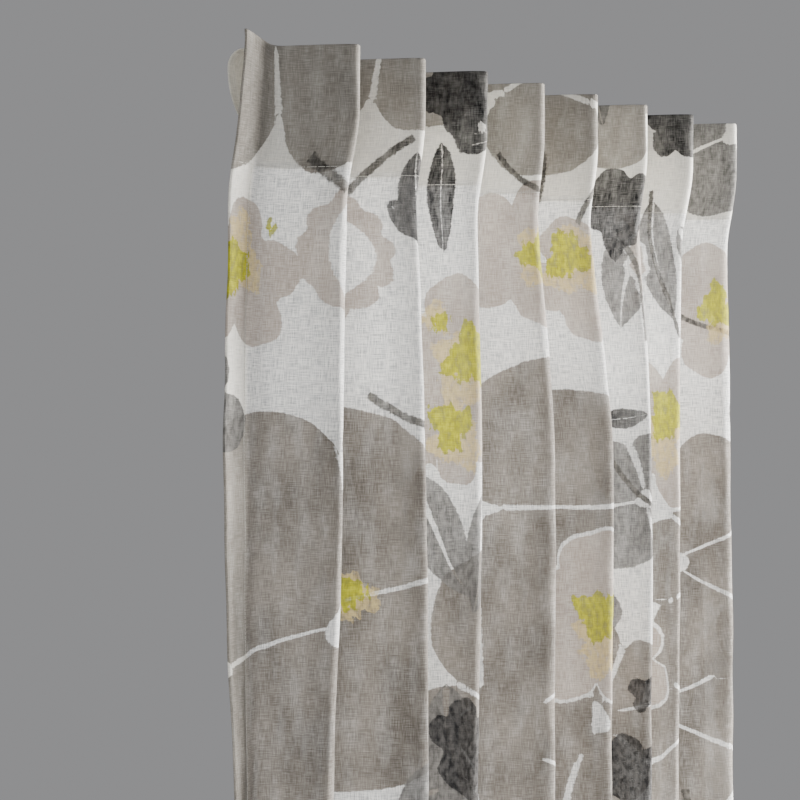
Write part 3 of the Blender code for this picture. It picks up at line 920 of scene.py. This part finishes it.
TACK_REACH = TAB_WIDTH / 2 - SEAM_INSET
TACK_DROPS = {"top": 0.0033, "foot": 0.0825}
for number, middle in enumerate(TAB_MIDDLES, start=1):
    along = middle + np.linspace(-TACK_REACH, TACK_REACH, 73)
    flat = np.interp(along, ROD_SAMPLES, CLOTH_USED)
    for end, drop in TACK_DROPS.items():
        line = sewn_line(flat, np.full(flat.shape, drop), LAP_INSET + TAB_THICK, 1)
        tack = make_stitching(f"tab_{end}_tack_{number}_thread", [line])
        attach(tack, tab_body(number))
        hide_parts(f"tab_{end}_tack_{number}")


# ---- Care label -----------------------------------------------------------------------------
# A blank label of smooth woven tape, 30 mm wide, near the foot of the panel. It lies flat on
# the back of the left side hem and covers a short run of that hem's stitching.

label_low, label_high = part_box("care_label")
LABEL_TOP = TOP_EDGE - label_high.z
LABEL_FOOT = TOP_EDGE - label_low.z
LABEL_START, LABEL_END = 0.010, 0.040       # its sides, across the flat cloth
LABEL_GAP, LABEL_THICK = 0.0004, 0.0004
RIB_SHADE, RIB_LIGHT = rgb(0.74, 0.74, 0.72), rgb(0.86, 0.86, 0.84)


def label_material():
    """Smooth woven tape: fine crosswise ribs from a noise stretched across the tape."""
    material = bpy.data.materials.new("woven_label_tape")
    material.use_nodes = True
    tree = material.node_tree
    surface = tree.nodes["Principled BSDF"]
    cloth = node(tree, "UVMap", uv_map="cloth").outputs[0]
    ribs = thread_noise(tree, cloth, 60, 2200, 1.0)
    colour = mix_colour(tree, between(tree, ribs, 0.4, 0.6), RIB_SHADE, RIB_LIGHT)
    tree.links.new(colour, surface.inputs["Base Color"])
    bump = node(tree, "Bump", {"Strength": 0.3, "Distance": 0.0001, "Height": ribs}).outputs[0]
    tree.links.new(bump, surface.inputs["Normal"])
    surface.inputs["Roughness"].default_value = 0.45
    return material


care_label = layer_piece(
    "care_label_tape", np.linspace(LABEL_START, LABEL_END, 9), np.linspace(LABEL_TOP, LABEL_FOOT, 12),
    back_of_side_hem + LABEL_GAP, LABEL_THICK, label_material(),
)
closes_with_panel(care_label, "care_label")


# ---- Floor, light and camera ----------------------------------------------------------------
# A pale floor just below the hem, and soft light: one lamp stands in the room at the right,
# one behind the cloth shows how sheer it is, and a weak one fills in from the left.

FLOOR_GAP = 0.012
bpy.ops.mesh.primitive_plane_add(size=8, location=(0, 0, TOP_EDGE - LENGTH - FLOOR_GAP))
floor = bpy.context.object
floor.name = "pale_floor"
floor_finish = bpy.data.materials.new("pale_floor")
floor_finish.use_nodes = True
floor_surface = floor_finish.node_tree.nodes["Principled BSDF"]
floor_surface.inputs["Base Color"].default_value = rgb(0.62, 0.61, 0.60)
floor_surface.inputs["Roughness"].default_value = 0.8
floor.data.materials.append(floor_finish)

world = bpy.data.worlds.new("soft_room")
world.use_nodes = True
background = world.node_tree.nodes["Background"]
background.inputs["Color"].default_value = rgb(0.84, 0.84, 0.86)
background.inputs["Strength"].default_value = 0.34
bpy.context.scene.world = world


def soft_light(name, place, aim, size, power, colour):
    """A square area lamp that faces the point it is aimed at."""
    lamp = bpy.data.lights.new(name, "AREA")
    lamp.size = size
    lamp.energy = power
    lamp.color = colour
    holder = bpy.data.objects.new(name, lamp)
    holder.location = place
    x, y, z = np.array(aim) - np.array(place)
    holder.rotation_euler = (math.atan2(math.hypot(x, y), -z), 0, math.atan2(-x, y))
    bpy.context.scene.collection.objects.link(holder)


soft_light("window_side", (1.6, -1.25, -0.35), (0.1, 0.0, -0.6), 1.0, 290, (1.0, 0.98, 0.95))
soft_light("room_fill", (-2.6, -1.6, 0.1), (0.0, 0.0, -0.7), 1.8, 34, (0.96, 0.98, 1.0))
soft_light("behind", (1.3, 1.3, -0.5), (0.1, 0.0, -0.7), 1.4, 120, (1.0, 0.98, 0.95))

camera_data = bpy.data.cameras.new("camera")
camera_data.lens = 99
camera_data.sensor_width = 36
camera = bpy.data.objects.new("camera", camera_data)
camera.location = (LEFT_EDGE - 1.322, -1.169, TOP_EDGE - 0.289)
camera.rotation_euler = (math.radians(90), 0, -math.atan2(4, 3))
bpy.context.scene.collection.objects.link(camera)
bpy.context.scene.camera = camera
